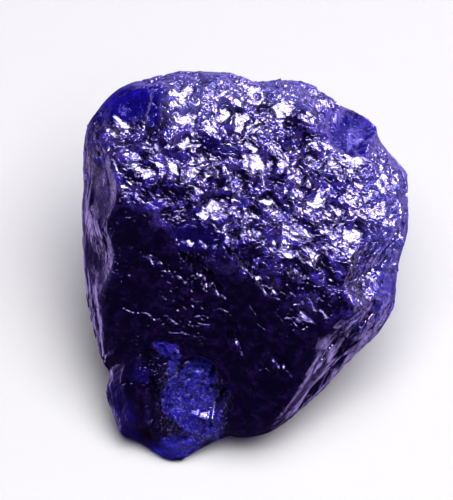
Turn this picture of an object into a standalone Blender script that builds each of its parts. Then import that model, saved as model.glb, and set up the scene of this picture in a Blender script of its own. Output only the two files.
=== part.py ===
"""Rough tanzanite: one broken piece of a violet-blue crystal, as it was mined.

It is a single natural solid. It lies on a small flat patch, with its main face
leaning back, and its outside is all broken surface: two large faces that meet in
a slanting ridge, a steep side at the lower right, a narrow steep side at the left,
a lump at the lower left that stands out past a notch, and chips, shell-like scoops
and hackles all over.

Three frames are used, and all of them are right-handed and in mm until the end.
  Face frame: u to the right, v up the main face and w out of it. The main face
  looks up and forwards, LEAN above the horizon. Its origin is the middle of the
  stone's outline.
  Level frame: the same origin, with X to the right, Y to the back and Z up.
  Stone frame: level, with the origin on the surface that the stone lies on, under
  the middle of its box. This is the frame of the finished mesh, in metres.
"""

import math

import bmesh
import bpy
import numpy as np

# ------------------------------------------------------------------ sizes
UNIT = 0.068             # one outline unit in mm: the stone is 325 by 385 units
LEAN = math.radians(58)  # how far above the horizon the main face looks
BASE = -7.3              # the level of the resting patch, in the level frame
GRID = 28                # cells along each side of the starting block
CORE = (-0.4, -1.2, -2.4)  # a point deep in the stone, in the face frame
TOWARD_FACE = 0.35       # how much smaller the cells are on the main face than at the back

# The stone's outline seen square to the main face, in units (u right, v up), read
# clockwise from the top left corner.
OUTLINE = [
    (-136, 163), (-121, 173), (-102, 180), (-82, 185), (-63, 188), (-37, 188),
    (-16, 187), (-3, 183), (10, 178), (26, 178), (44, 181), (57, 181), (73, 175),
    (86, 165), (99, 155), (112, 150), (125, 146), (132, 138), (134, 126),
    (141, 113), (153, 100), (162, 87), (164, 71), (164, 53), (162, 32), (159, 14),
    (153, -7), (152, -23), (151, -39), (139, -65), (122, -83), (102, -101),
    (78, -128), (57, -148), (36, -164), (20, -172), (0, -175), (-19, -175),
    (-32, -180), (-50, -190), (-63, -197), (-76, -196), (-89, -188),
    (-105, -178), (-119, -172), (-127, -156), (-134, -138), (-136, -127),
    (-131, -112), (-142, -93), (-148, -70), (-153, -49), (-156, -28),
    (-159, -2), (-160, 24), (-161, 56), (-159, 77), (-159, 97), (-157, 123),
    (-152, 139), (-144, 152),
]

# Around the outline (degrees, 0 at the right and 90 at the top): the rim's height w,
# and how far the stone draws in for each mm of height, towards its face and towards
# its back.
RIM = [
    (0, 2.8, 0.42, 0.60),
    (25, 3.2, 0.50, 0.85),
    (47, 1.8, 0.56, 0.90),
    (72, 2.4, 0.60, 0.75),
    (95, 3.3, 0.76, 0.65),
    (120, 3.5, 0.60, 0.80),
    (140, 3.4, 0.46, 1.00),
    (152, 2.9, 0.30, 0.60),
    (168, 2.5, 0.50, 0.50),
    (182, 2.2, 0.48, 0.40),
    (205, 1.9, 0.45, 0.40),
    (222, 1.0, 0.70, 0.50),
    (240, 0.3, 0.80, 0.50),
    (255, 0.3, 0.80, 0.50),
    (268, 1.4, 0.50, 0.45),
    (290, 1.8, 0.45, 0.35),
    (315, 2.0, 0.62, 0.30),
    (340, 2.4, 0.50, 0.40),
]

# Large broken faces of the front: (normal, a point on it, how much wider than CREASE
# its edges are rounded), in the face frame.
FACES = [
    ((0.10, 0.16, 1.0), (0.0, 1.2, 7.5), 1),          # upper face
    ((-0.169, -0.333, 0.927), (0.0, 1.2, 7.5), 3),    # lower face, across the ridge
    ((0.20, 0.40, 1.0), (0.0, 6.5, 6.65), 3),         # top of the upper face
    ((0.66, -0.50, 0.56), (7.9, -5.0, 5.1), 3),       # steep side at the lower right
    ((-0.55, 0.46, 0.70), (-7.9, 8.8, 6.0), 1),       # shoulder at the upper left
    ((0.62, 0.40, 0.68), (9.6, 6.0, 5.0), 1),         # shoulder at the right
]
# The same for the back and the underside, in the level frame.
BACK_FACES = [
    ((0.05, 0.95, -0.30), (0.0, 10.2, 7.0)),       # back, hanging over a little
    ((0.75, 0.60, -0.28), (9.6, 7.2, 4.0)),        # back right
    ((-0.76, 0.60, -0.26), (-9.2, 7.2, 4.0)),      # back left
    ((0.25, 0.72, -0.65), (1.5, 7.6, -2.2)),       # low at the back
    ((-0.42, 0.12, -0.90), (-4.6, -1.0, -7.1)),    # under the left
    ((0.40, 0.02, -0.92), (4.0, -1.0, -7.1)),      # under the right
    ((0.04, 0.30, -0.95), (0.0, 3.8, -7.1)),       # under the back
    ((0.03, -0.03, -1.0), (0.0, -4.6, -7.24)),     # under the front
    ((-0.95, -0.10, -0.30), (-10.9, -0.6, -1.0)),  # left side
    ((0.93, -0.20, -0.30), (10.9, -0.6, -0.5)),    # right side
]
SIDES = [                # sides with their own grain: (normal, how nearly the surface
    # faces that way, how high the hackles are, the way the grain runs)
    ((0.66, -0.50, 0.56), 0.80, 1.4, (0.62, 0.74, 0.25)),
    ((-0.94, 0.0, 0.34), 0.78, 1.2, (0.05, 0.97, 0.22)),
]
LOWER_HACKLES = 0.5      # how high the hackles are below the ridge, against above it
SPOTS = [                # smoother and rougher patches: (u, v, radius in units, hackles)
    (-115, 156, 27, 0.20),
    (112, 124, 28, 0.35),
    (141, -26, 16, 0.4),
    (-112, -30, 34, 0.6),
    (12, -142, 40, 0.5),
    (-62, -146, 44, 1.5),
]
CREASE = 0.5             # how wide the broken edges between large faces are rounded

# Shell-like scoops: the centre and radius of the ball that fits each.
SCOOPS = [
    ((-8.2, 11.0, 8.8), 4.2),      # deep one at the top left corner
    ((7.2, 9.6, 10.6), 5.4),       # top right corner
    ((-1.8, 1.2, 12.0), 4.7),      # under the brow of the ridge
    ((-9.9, -7.2, 6.6), 2.4),      # notch above the lump
    ((2.6, -11.6, 9.2), 5.6),      # right of the lump
    ((10.4, -1.2, 8.6), 3.8),      # right edge
    ((3.9, -4.2, 15.4), 9.2),      # lower face
    ((-6.2, -1.6, 12.0), 6.3),     # lower face, left
    ((-1.2, 8.2, 14.4), 8.0),      # upper face
    ((-12.2, 4.9, 7.2), 3.8),      # left side, high
    ((-12.6, -0.3, 6.4), 3.95),    # left side, low
]
# The lump at the lower left: a crooked ball is broken away from the stone's foot, and
# a thin tongue with a rounded face stays in the hollow.
LUMP = (-5.2, -10.0, 4.7)             # the ball's middle
LUMP_EDGE = [                         # the ball's radius round about: (degrees, mm)
    (-60, 4.2), (-26, 4.4), (-16, 3.8), (4, 4.1), (19, 4.5), (31, 3.9), (43, 4.5),
    (60, 4.2), (74, 3.7), (92, 4.0), (106, 4.5), (122, 4.1), (142, 4.6), (165, 4.3),
    (200, 4.6), (240, 4.5),
]
TONGUE = ((-5.6, -3.4, -16.6), 20.0)  # the ball that the tongue's face is a part of
TONGUE_REACH = 5.2                    # how far the tongue goes from its middle
BACK_SCOOPS = [                    # in the level frame
    ((3.6, 16.8, 3.4), 7.6),
    ((-6.6, 15.0, -0.6), 7.4),
    ((13.4, 9.4, -2.6), 6.2),
    ((-16.0, 3.6, -3.6), 6.2),
    ((15.6, -1.6, -5.8), 5.6),
    ((1.5, 9.8, -8.8), 4.6),
]

# Chips knocked off the front: middle (units), half-length and half-width (units),
# the long way's turn (degrees), depth (mm), and the way the flat bottom leans, as
# the slopes of w along u and v.
CHIPS = [
    (-109, 105, 13, 10, 30, 0.22, -0.21, -0.36),
    (-71, 97, 18, 10, -55, 0.26, -0.25, -0.38),
    (15, 99, 20, 15, -35, 0.30, -0.22, -0.35),
    (-58, 142, 18, 11, 30, 0.24, -0.25, -0.38),
    (-21, 149, 13, 12, 40, 0.24, -0.27, -0.39),
    (41, 155, 17, 11, 10, 0.24, -0.28, -0.34),
    (75, 62, 20, 13, 25, 0.32, -0.23, -0.37),
    (109, 27, 16, 13, 40, 0.28, -0.22, -0.38),
    (-33, 52, 28, 13, 38, 0.34, -0.14, -0.33),
    (-14, 44, 24, 18, 25, 0.30, -0.04, -0.25),
    (-36, 26, 30, 12, 5, 0.30, 0.12, 0.40),
    (98, 125, 37, 30, 45, 0.62, -0.68, -0.72),
    (20, 28, 20, 12, -10, 0.36, 0.22, 0.20),
    (-2, 88, 30, 9, -15, 0.30, 0.12, 0.14),
    (60, 124, 16, 13, 30, 0.34, 0.30, 0.00),
    (-90, -144, 28, 8, 98, 0.55, -0.05, 0.20),
    (-76, -90, 14, 6, -35, 0.25, 0.30, 0.35),
]

# Broken texture, in rounds: flat facets that meet at sharp creases ("flats"), or
# small tilted bowls that meet in sharp ridges ("bowls"). Each round is (kind, size,
# depth, stretch along the grain), sizes and depths in mm.
HACKLE = [
    ("flats", 3.2, 0.42, 1.2),
    ("bowls", 2.2, 0.34, 1.3),
    ("flats", 1.3, 0.22, 1.4),
]
TILT = 0.9                # how far the bowls tilt
GRAIN = (0.80, -0.50, 0.33)   # the crystal's grain, in the face frame
SIDE_STRETCH = 2.8       # how far the hackles are stretched on the sides, along their edges


# ------------------------------------------------------------------ geometry
def to_level(p):
    """Face frame to level frame."""
    c, s = math.cos(LEAN), math.sin(LEAN)
    return np.stack([p[:, 0], s * p[:, 1] - c * p[:, 2], c * p[:, 1] + s * p[:, 2]], 1)


def around(angle, table):
    """Columns of a table that goes round the outline, at these angles, smoothly."""
    t = np.array(table, float)
    t = t[np.argsort(t[:, 0])]
    n = len(t)
    a = np.concatenate([t[-2:, 0] - 360, t[:, 0], t[:3, 0] + 360])
    v = np.concatenate([t[-2:, 1:], t[:, 1:], t[:3, 1:]])
    x = np.degrees(angle) % 360
    i = np.clip(np.searchsorted(a, x, side="right") - 1, 1, n + 2)
    h = a[i + 1] - a[i]
    f = ((x - a[i]) / h)[:, None]
    m0 = (v[i + 1] - v[i - 1]) / (a[i + 1] - a[i - 1])[:, None] * h[:, None]
    m1 = (v[i + 2] - v[i]) / (a[i + 2] - a[i])[:, None] * h[:, None]
    return (
        v[i] * (2 * f**3 - 3 * f**2 + 1)
        + m0 * (f**3 - 2 * f**2 + f)
        + v[i + 1] * (3 * f**2 - 2 * f**3)
        + m1 * (f**3 - f**2)
    )


def outline_radius(angle):
    """The outline's distance from its middle in mm, at these angles."""
    p = np.array(OUTLINE, float)
    table = np.stack([np.degrees(np.arctan2(p[:, 1], p[:, 0])) % 360,
                      np.hypot(p[:, 0], p[:, 1]) * UNIT], 1)
    return around(angle, table)[:, 0]


def joined(a, b, width=CREASE):
    """The greater of two, with the crease between them rounded over this width."""
    near = np.maximum(width - np.abs(a - b), 0) / width
    return np.maximum(a, b) + near * near * width / 4


def above_plane(p, normal, point):
    n = np.array(normal, float)
    n /= np.linalg.norm(n)
    return p @ n - n @ np.array(point, float)


def outside(p):
    """About how far each point of the face frame is outside the stone, in mm, before
    its chips and hackles: negative inside."""
    angle = np.arctan2(p[:, 1], p[:, 0])
    reach = np.hypot(p[:, 0], p[:, 1]) - outline_radius(angle)
    rim, front, back = around(angle, RIM).T
    wall = np.maximum(
        (reach + front * (p[:, 2] - rim)) / np.hypot(1, front),
        (reach - back * (p[:, 2] - rim)) / np.hypot(1, back),
    )
    f = wall
    for normal, point, wider in FACES:
        f = joined(f, above_plane(p, normal, point), wider * CREASE)
    level = to_level(p)
    for normal, point in BACK_FACES:
        f = joined(f, above_plane(level, normal, point))
    for centre, radius in SCOOPS:
        f = joined(f, radius - np.linalg.norm(p - np.array(centre), axis=1))
    off = p - np.array(LUMP)
    edge = around(np.arctan2(off[:, 1], off[:, 0]), LUMP_EDGE)[:, 0]
    f = joined(f, edge - np.linalg.norm(off, axis=1))
    tongue = np.linalg.norm(p - np.array(TONGUE[0]), axis=1) - TONGUE[1]
    tongue = np.maximum(tongue, wall)
    tongue = np.maximum(tongue, np.hypot(off[:, 0], off[:, 1]) - TONGUE_REACH)
    for normal, point in BACK_FACES:
        tongue = np.maximum(tongue, above_plane(level, normal, point))
    f = -joined(-f, -tongue)
    for centre, radius in BACK_SCOOPS:
        f = np.maximum(f, radius - np.linalg.norm(level - np.array(centre), axis=1))
    return f


def first_hit(start, step, far, f):
    """How far along each ray f first turns positive. It steps by a share of f, which is
    about the distance left, and then halves the last step."""
    n = len(start)
    low, high = np.zeros(n), np.full(n, far)
    at = np.full(n, 0.3)
    live = np.arange(n)
    while len(live):
        value = f(start[live] + at[live, None] * step[live])
        hit = value > 0
        high[live[hit]] = at[live[hit]]
        live, value = live[~hit], value[~hit]
        low[live] = at[live]
        at[live] += np.maximum(0.25, -0.6 * value)
        live = live[at[live] < far]
    for _ in range(11):
        middle = (low + high) / 2
        hit = f(start + middle[:, None] * step) > 0
        high = np.where(hit, middle, high)
        low = np.where(hit, low, middle)
    return (low + high) / 2


def chip_floors():
    """Each chip's middle on the stone's face, in the face frame."""
    at = np.array([(c[0] * UNIT, c[1] * UNIT, 14.0) for c in CHIPS])
    down = np.tile((0.0, 0.0, -1.0), (len(at), 1))
    at[:, 2] -= first_hit(at, down, 20.0, lambda p: -outside(p))
    return at


def chipped(p, floors):
    """(how deep the chips cut at p, how calm the surface is there)."""
    cut = np.zeros(len(p))
    calm = np.zeros(len(p))
    crook = 0.16 * np.sin(p[:, [1, 0]] * 3.1 + 1.3 * p[:, [0, 1]]) + 0.10 * np.sin(p[:, [1, 0]] * 7.7 + 2.0)
    for (_, _, length, width, turn, depth, su, sv), (u, v, w) in zip(CHIPS, floors):
        du, dv = p[:, 0] - u, p[:, 1] - v
        near = np.flatnonzero((np.hypot(du, dv) < 1.5 * length * UNIT) & (p[:, 2] > w - 2.5))
        du, dv, dw = du[near], dv[near], p[near, 2] - w
        a = math.radians(turn)
        x = (du * math.cos(a) + dv * math.sin(a) + crook[near, 0]) / (length * UNIT)
        y = (dv * math.cos(a) - du * math.sin(a) + crook[near, 1]) / (width * UNIT)
        off = np.maximum(np.abs(x) + 0.45 * np.abs(y), np.abs(y) + 0.45 * np.abs(x)) ** 2
        floor = (dw - su * du - sv * dv) / math.sqrt(1 + su * su + sv * sv) + depth * (1 - off**2)
        cut[near] = np.maximum(cut[near], floor)
        calm[near] = np.maximum(calm[near], np.clip(1.4 - off, 0, 1) * (cut[near] > 0))
    return cut, calm


def hashed(cell, salt):
    """Six even numbers from 0 to 1 for each whole-number cell."""
    x, y, z = (cell[..., k].astype(np.uint32) for k in range(3))
    h = x * np.uint32(73856093) ^ y * np.uint32(19349663) ^ z * np.uint32(83492791)
    h = h ^ np.uint32((salt * 2654435761) & 0xFFFFFFFF)
    out = []
    for _ in range(6):
        h = h ^ (h >> np.uint32(16))
        h = h * np.uint32(0x7FEB352D)
        h = h ^ (h >> np.uint32(15))
        h = h * np.uint32(0x846CA68B)
        h = h ^ (h >> np.uint32(16))
        out.append(h.astype(np.float64) / 4294967295.0)
    return np.stack(out, -1)


def bowls(q, salt):
    """Each bowl sits round a point of a jittered grid, tilted, and the deepest cut
    wins, so that neighbours meet in a sharp ridge."""
    cell = np.floor(q).astype(np.int64)
    least = np.full(len(q), 1e9)
    for dx in (-1, 0, 1):
        for dy in (-1, 0, 1):
            for dz in (-1, 0, 1):
                c = cell + np.array((dx, dy, dz))
                r = hashed(c, salt)
                away = q - (c + 0.15 + 0.7 * r[:, :3])
                bowl = (away**2).sum(1) + TILT * (away * (r[:, 3:6] * 2 - 1)).sum(1)
                least = np.minimum(least, bowl)
    return least - 0.04


def flats(q, salt):
    """Heights at the points of a slanted grid, joined by flat facets."""
    q = q + q.sum(1)[:, None] / 3
    cell = np.floor(q).astype(np.int64)
    part = q - cell
    order = np.argsort(-part, 1)
    part = np.take_along_axis(part, order, 1)
    weight = np.stack([1 - part[:, 0], part[:, 0] - part[:, 1], part[:, 1] - part[:, 2], part[:, 2]])
    height = weight[0] * hashed(cell, salt)[:, 0]
    for k in range(3):
        cell[np.arange(len(q)), order[:, k]] += 1
        height += weight[k + 1] * hashed(cell, salt)[:, 0]
    return 2 * height - 1


def hackles(p, kind, size, depth, stretch, salt, grain=GRAIN):
    """How far one round of broken texture cuts into the surface at p."""
    g = np.array(grain, float)
    g /= np.linalg.norm(g)
    q = (p - np.outer(p @ g, g) * (1 - 1 / stretch)) / size
    q = q + 0.20 * np.sin(q[:, [1, 2, 0]] * 2.3 + salt) + 0.10 * np.sin(q[:, [2, 0, 1]] * 5.1 + 2 * salt)
    return depth * (flats if kind == "flats" else bowls)(q, salt)


def facing(p):
    """The way the surface faces at each point on it."""
    n = np.stack([outside(p + step) - outside(p - step) for step in 0.03 * np.eye(3)], 1)
    return n / np.maximum(np.linalg.norm(n, axis=1), 1e-6)[:, None]


def roughness(p, n):
    """(how strong the hackles are, how much a point is on each side that has its own
    grain, how much it is below the ridge): they are lower along the rim, which keeps
    its outline, on the smoother patches and below the ridge."""
    angle = np.arctan2(p[:, 1], p[:, 0])
    reach = np.hypot(p[:, 0], p[:, 1]) - outline_radius(angle)
    rim = around(angle, RIM)[:, 0]
    strong = 1 - 0.70 * np.clip(1.3 - np.hypot(reach, p[:, 2] - rim) / 0.7, 0, 1)
    for u, v, radius, share in SPOTS:
        near = np.hypot(p[:, 0] - u * UNIT, p[:, 1] - v * UNIT) / (radius * UNIT)
        strong *= 1 - (1 - share) * np.clip((1.1 - near) / 0.3, 0, 1) * (p[:, 2] > 0)
    upper, below = (above_plane(p, normal, point) for normal, point, _ in FACES[:2])
    lower = np.clip((below - upper) / 1.2 + 0.5, 0, 1)
    strong *= 1 - (1 - LOWER_HACKLES) * lower
    inward = np.clip((-np.maximum(upper, below) - 0.15) / 0.8, 0, 1)
    sides = []
    for normal, within, share, grain in SIDES:
        toward = n @ (np.array(normal) / np.linalg.norm(normal))
        here = np.clip((toward - within) / 0.10, 0, 1) * inward
        strong *= 1 - (1 - share) * here
        sides.append((grain, here))
    return strong, sides, lower


def broken(p, sides, kind, size, depth, stretch, salt):
    """One round of hackles, with the grain turned on the sides."""
    cut = hackles(p, kind, size, depth, stretch, salt)
    for grain, here in sides:
        on = np.flatnonzero(here)
        along = hackles(p[on], kind, size, depth, SIDE_STRETCH, salt + 1, grain)
        cut[on] += (along - cut[on]) * here[on]
    return cut


def carved(r, cut, square):
    """The reach r less a cut square to the surface. Where it adds instead, it adds
    along the ray, so that nothing stands out far where the ray grazes the surface."""
    return r - np.where(cut > 0, cut / square, cut)


def distance(d):
    """How far the stone reaches from its core in each direction d, in mm."""
    start = np.tile(np.array(CORE, float), (len(d), 1))
    r = first_hit(start, d, 24.0, outside)
    p = start + d * r[:, None]
    n = facing(p)
    strong, sides, lower = roughness(p, n)
    # How square the surface is to the ray, so that a cut is as deep as it should be.
    square = np.clip((n * d).sum(1), 0.35, 1)
    for k, (kind, size, depth, stretch) in enumerate(HACKLE):
        r = carved(r, strong * broken(p, sides, kind, size, depth, stretch, 11 + 7 * k), square)
    cut, calm = chipped(start + d * r[:, None], chip_floors())
    r = r - cut / square
    # The patch that it lies on is flat and level.
    down = to_level(d)[:, 2]
    below = to_level(start)[:, 2] - BASE
    return np.where(r * down < -below, -below / np.minimum(down, -1e-6), r)


def block(cells):
    """A block's grid of points, pushed out to a ball: directions from the core."""
    bm = bmesh.new()
    bmesh.ops.create_cube(bm, size=2)
    bmesh.ops.subdivide_edges(bm, edges=bm.edges[:], cuts=cells - 1, use_grid_fill=True)
    for v in bm.verts:  # even angles, so that the cells are alike in size
        for k in range(3):
            v.co[k] = math.tan(v.co[k] * math.pi / 4)
        v.co.normalize()
        v.co.z += TOWARD_FACE
        v.co.normalize()
    return bm


def split_cells(bm, d, r, least):
    """Splits each four-sided cell that bends by more than this (mm) along the diagonal
    that lies nearer the surface, so that the creases run clean."""
    bm.verts.index_update()
    cells = list(bm.faces)
    corner = (d * r[:, None])[np.array([[v.index for v in f.verts] for f in cells])]
    one, other = (corner[:, 0] + corner[:, 2]) / 2, (corner[:, 1] + corner[:, 3]) / 2
    square = np.cross(corner[:, 2] - corner[:, 0], corner[:, 3] - corner[:, 1])
    square /= np.maximum(np.linalg.norm(square, axis=1), 1e-9)[:, None]
    bent = np.flatnonzero(np.abs(((one - other) * square).sum(1)) > least)
    one, other = one[bent], other[bent]
    toward = (one + other) / np.linalg.norm(one + other, axis=1)[:, None]
    reach = distance(toward)
    first = np.abs(np.linalg.norm(one, axis=1) - reach) < np.abs(np.linalg.norm(other, axis=1) - reach)
    for k, along in zip(bent, first):
        v = cells[k].verts[:]
        bmesh.utils.face_split(cells[k], v[0 if along else 1], v[2 if along else 3])
    return len(bent)


def stone():
    bm = block(GRID)
    d = np.array([v.co[:] for v in bm.verts], float)
    r = distance(d)
    split_cells(bm, d, r, 0.02)
    p = to_level(np.array(CORE) + d * r[:, None]) * 1e-3
    for v, at in zip(bm.verts, p):
        v.co = at
    # The flat patch that it lies on becomes one face before the triangles are made.
    patch = [f for f in bm.faces if all(v.co.z < BASE * 1e-3 + 1e-7 for v in f.verts)]
    for v in {v for f in patch for v in f.verts}:
        v.co.z = BASE * 1e-3
    bmesh.ops.dissolve_faces(bm, faces=patch, use_verts=True)
    bmesh.ops.triangulate(bm, faces=bm.faces[:])
    bmesh.ops.recalc_face_normals(bm, faces=bm.faces[:])
    low = np.array([v.co[:] for v in bm.verts]).min(0)
    high = np.array([v.co[:] for v in bm.verts]).max(0)
    move = (-(low[0] + high[0]) / 2, -(low[1] + high[1]) / 2, -BASE * 1e-3)
    bmesh.ops.translate(bm, verts=bm.verts[:], vec=move)
    print("outline middle at", [round(x * 1e3, 4) for x in move], "mm")
    mesh = bpy.data.meshes.new("rough_tanzanite")
    bm.to_mesh(mesh)
    bm.free()
    return mesh


def finish(mesh):
    """Deep violet-blue, clear and glossy."""
    material = bpy.data.materials.new("tanzanite")
    material.use_nodes = True
    shader = material.node_tree.nodes["Principled BSDF"]
    shader.inputs["Base Color"].default_value = (0.035, 0.016, 0.32, 1)
    shader.inputs["Roughness"].default_value = 0.12
    shader.inputs["Metallic"].default_value = 0.0
    shader.inputs["IOR"].default_value = 1.69
    mesh.materials.append(material)


def main():
    for old in list(bpy.data.objects):
        bpy.data.objects.remove(old)
    mesh = stone()
    finish(mesh)
    bpy.context.scene.collection.objects.link(bpy.data.objects.new("rough_tanzanite", mesh))


main()
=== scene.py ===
"""Rough tanzanite: the looks of one broken piece of a violet-blue crystal.

The stone's shape is worked out by the same rule as its solid, with finer rounds of
broken texture and more chips, as one closed mesh of clear crystal that takes up red
and green light and lets blue through. All of it is in metres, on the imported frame.
"""

import math

import bmesh
import bpy
import numpy as np
from mathutils import Matrix, Vector


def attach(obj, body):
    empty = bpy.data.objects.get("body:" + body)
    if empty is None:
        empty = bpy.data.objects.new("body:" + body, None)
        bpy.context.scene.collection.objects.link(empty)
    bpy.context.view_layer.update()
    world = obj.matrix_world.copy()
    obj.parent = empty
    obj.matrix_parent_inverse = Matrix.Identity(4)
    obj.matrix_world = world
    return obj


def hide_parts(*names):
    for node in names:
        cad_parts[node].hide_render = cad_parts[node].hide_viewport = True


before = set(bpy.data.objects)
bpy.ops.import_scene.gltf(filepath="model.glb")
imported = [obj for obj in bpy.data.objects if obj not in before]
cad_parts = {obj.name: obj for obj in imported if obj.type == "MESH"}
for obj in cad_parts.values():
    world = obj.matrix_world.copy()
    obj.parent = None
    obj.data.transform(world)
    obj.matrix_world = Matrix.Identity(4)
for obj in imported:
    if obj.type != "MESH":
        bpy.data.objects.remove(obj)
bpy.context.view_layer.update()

# ------------------------------------------------------------------ the shape
UNIT = 0.068             # one outline unit in mm: the stone is 325 by 385 units
LEAN = math.radians(58)  # how far above the horizon the main face looks
BASE = -7.3              # the level of the resting patch, in the level frame
GRID = 200               # cells along each side of the starting block
CORE = (-0.4, -1.2, -2.4)  # a point deep in the stone, in the face frame
TOWARD_FACE = 0.45       # how much smaller the cells are on the main face than at the back

# The stone's outline seen square to the main face, in units (u right, v up), read
# clockwise from the top left corner.
OUTLINE = [
    (-136, 163), (-121, 173), (-102, 180), (-82, 185), (-63, 188), (-37, 188),
    (-16, 187), (-3, 183), (10, 178), (26, 178), (44, 181), (57, 181), (73, 175),
    (86, 165), (99, 155), (112, 150), (125, 146), (132, 138), (134, 126),
    (141, 113), (153, 100), (162, 87), (164, 71), (164, 53), (162, 32), (159, 14),
    (153, -7), (152, -23), (151, -39), (139, -65), (122, -83), (102, -101),
    (78, -128), (57, -148), (36, -164), (20, -172), (0, -175), (-19, -175),
    (-32, -180), (-50, -190), (-63, -197), (-76, -196), (-89, -188),
    (-105, -178), (-119, -172), (-127, -156), (-134, -138), (-136, -127),
    (-131, -112), (-142, -93), (-148, -70), (-153, -49), (-156, -28),
    (-159, -2), (-160, 24), (-161, 56), (-159, 77), (-159, 97), (-157, 123),
    (-152, 139), (-144, 152),
]

# Around the outline (degrees, 0 at the right and 90 at the top): the rim's height w,
# and how far the stone draws in for each mm of height, towards its face and towards
# its back.
RIM = [
    (0, 2.8, 0.42, 0.60),
    (25, 3.2, 0.50, 0.85),
    (47, 1.8, 0.56, 0.90),
    (72, 2.4, 0.60, 0.75),
    (95, 3.3, 0.76, 0.65),
    (120, 3.5, 0.60, 0.80),
    (140, 3.4, 0.46, 1.00),
    (152, 2.9, 0.30, 0.60),
    (168, 2.5, 0.50, 0.50),
    (182, 2.2, 0.48, 0.40),
    (205, 1.9, 0.45, 0.40),
    (222, 1.0, 0.70, 0.50),
    (240, 0.3, 0.80, 0.50),
    (255, 0.3, 0.80, 0.50),
    (268, 1.4, 0.50, 0.45),
    (290, 1.8, 0.45, 0.35),
    (315, 2.0, 0.62, 0.30),
    (340, 2.4, 0.50, 0.40),
]

# Large broken faces of the front: (normal, a point on it, how much wider than CREASE
# its edges are rounded), in the face frame.
FACES = [
    ((0.10, 0.16, 1.0), (0.0, 1.2, 7.5), 1),          # upper face
    ((-0.169, -0.333, 0.927), (0.0, 1.2, 7.5), 3),    # lower face, across the ridge
    ((0.20, 0.40, 1.0), (0.0, 6.5, 6.65), 3),         # top of the upper face
    ((0.66, -0.50, 0.56), (7.9, -5.0, 5.1), 1),       # steep side at the lower right
    ((-0.55, 0.46, 0.70), (-7.9, 8.8, 6.0), 1),       # shoulder at the upper left
    ((0.62, 0.40, 0.68), (9.6, 6.0, 5.0), 1),         # shoulder at the right
]
# The same for the back and the underside, in the level frame.
BACK_FACES = [
    ((0.05, 0.95, -0.30), (0.0, 10.2, 7.0)),       # back, hanging over a little
    ((0.75, 0.60, -0.28), (9.6, 7.2, 4.0)),        # back right
    ((-0.76, 0.60, -0.26), (-9.2, 7.2, 4.0)),      # back left
    ((0.25, 0.72, -0.65), (1.5, 7.6, -2.2)),       # low at the back
    ((-0.42, 0.12, -0.90), (-4.6, -1.0, -7.1)),    # under the left
    ((0.40, 0.02, -0.92), (4.0, -1.0, -7.1)),      # under the right
    ((0.04, 0.30, -0.95), (0.0, 3.8, -7.1)),       # under the back
    ((0.03, -0.03, -1.0), (0.0, -4.6, -7.24)),     # under the front
    ((-0.95, -0.10, -0.30), (-10.9, -0.6, -1.0)),  # left side
    ((0.93, -0.20, -0.30), (10.9, -0.6, -0.5)),    # right side
]
SIDES = [                # sides with their own grain: (normal, how nearly the surface
    # faces that way, how high the hackles are, the way the grain runs)
    ((0.66, -0.50, 0.56), 0.80, 1.4, (0.62, 0.74, 0.25)),
    ((-0.94, 0.0, 0.34), 0.78, 1.2, (0.05, 0.97, 0.22)),
]
LOWER_HACKLES = 0.5      # how high the hackles are below the ridge, against above it
SPOTS = [                # smoother and rougher patches: (u, v, radius in units, hackles)
    (-115, 156, 27, 0.20),
    (112, 124, 28, 0.35),
    (141, -26, 16, 0.4),
    (-112, -30, 34, 0.6),
    (12, -142, 40, 0.5),
    (-62, -146, 44, 1.5),
]
CREASE = 0.35            # how wide the broken edges between large faces are rounded

# Shell-like scoops: the centre and radius of the ball that fits each.
SCOOPS = [
    ((-8.2, 11.0, 8.8), 4.2),      # deep one at the top left corner
    ((7.2, 9.6, 10.6), 5.4),       # top right corner
    ((-1.8, 1.2, 12.0), 4.7),      # under the brow of the ridge
    ((-9.9, -7.2, 6.6), 2.4),      # notch above the lump
    ((2.6, -11.6, 9.2), 5.6),      # right of the lump
    ((10.4, -1.2, 8.6), 3.8),      # right edge
    ((3.9, -4.2, 15.4), 9.2),      # lower face
    ((-6.2, -1.6, 12.0), 6.3),     # lower face, left
    ((-1.2, 8.2, 14.4), 8.0),      # upper face
    ((-12.2, 4.9, 7.2), 3.8),      # left side, high
    ((-12.6, -0.3, 6.4), 3.95),    # left side, low
]
# The lump at the lower left: a crooked ball is broken away from the stone's foot, and
# a thin tongue with a rounded face stays in the hollow.
LUMP = (-5.2, -10.0, 4.7)             # the ball's middle
LUMP_EDGE = [                         # the ball's radius round about: (degrees, mm)
    (-60, 4.2), (-26, 4.4), (-16, 3.8), (4, 4.1), (19, 4.5), (31, 3.9), (43, 4.5),
    (60, 4.2), (74, 3.7), (92, 4.0), (106, 4.5), (122, 4.1), (142, 4.6), (165, 4.3),
    (200, 4.6), (240, 4.5),
]
TONGUE = ((-5.6, -3.4, -16.6), 20.0)  # the ball that the tongue's face is a part of
TONGUE_REACH = 5.2                    # how far the tongue goes from its middle
BACK_SCOOPS = [                    # in the level frame
    ((3.6, 16.8, 3.4), 7.6),
    ((-6.6, 15.0, -0.6), 7.4),
    ((13.4, 9.4, -2.6), 6.2),
    ((-16.0, 3.6, -3.6), 6.2),
    ((15.6, -1.6, -5.8), 5.6),
    ((1.5, 9.8, -8.8), 4.6),
]

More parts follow.
